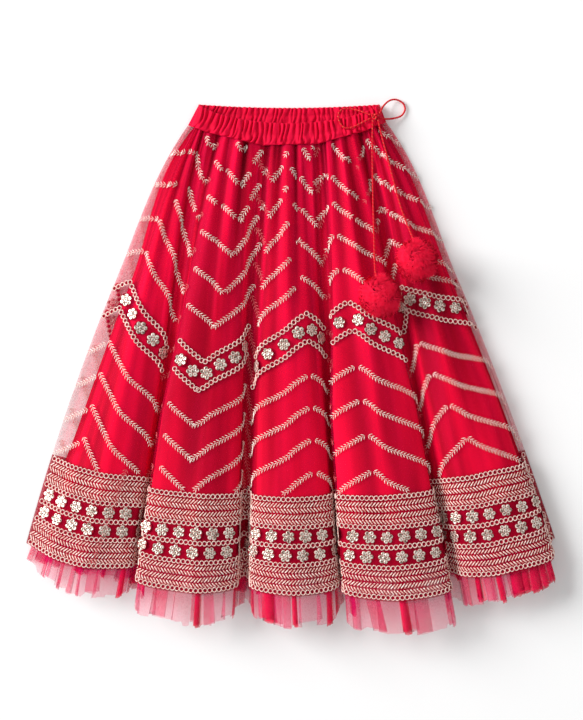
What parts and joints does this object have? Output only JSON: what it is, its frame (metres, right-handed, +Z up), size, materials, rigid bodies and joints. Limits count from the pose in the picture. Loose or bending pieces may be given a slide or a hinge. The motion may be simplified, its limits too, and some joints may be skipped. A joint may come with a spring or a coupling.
{
  "type": "lehenga skirt",
  "caption": "Child's flared lehenga skirt of red embroidered net over a red lining, with a gathered waistband, a frilled hem and a pompom drawstring, laid flat.",
  "frame": {"origin": "centre of the cloth's bounding box at its base, on the surface that the skirt lies on", "axes": "+X across the skirt towards the bow, +Y from the hem to the waist, +Z up from the surface, towards the front of the skirt"},
  "size_m": [0.6254, 0.6279, 0.0661],
  "materials": {
    "net": "sheer embroidered net",
    "border": "close embroidery on net",
    "lining": "satin",
    "frill": "sheer pleated net",
    "waistband": "gathered satin",
    "drawstring": "twisted cord",
    "pompom": "fluffy net"
  },
  "bodies": {
    "root": {"net_front": "net", "net_back": "net", "border_front": "border", "border_back": "border", "lining_front": "lining", "lining_back": "lining", "frill_front": "frill", "frill_back": "frill", "waistband": "waistband", "bow_knot": "drawstring", "cord_tail_left": "drawstring", "cord_tail_right": "drawstring", "cord_loop_left": "drawstring", "cord_loop_right": "drawstring", "pompom_left": "pompom", "pompom_right": "pompom"}
  },
  "joints": []
}
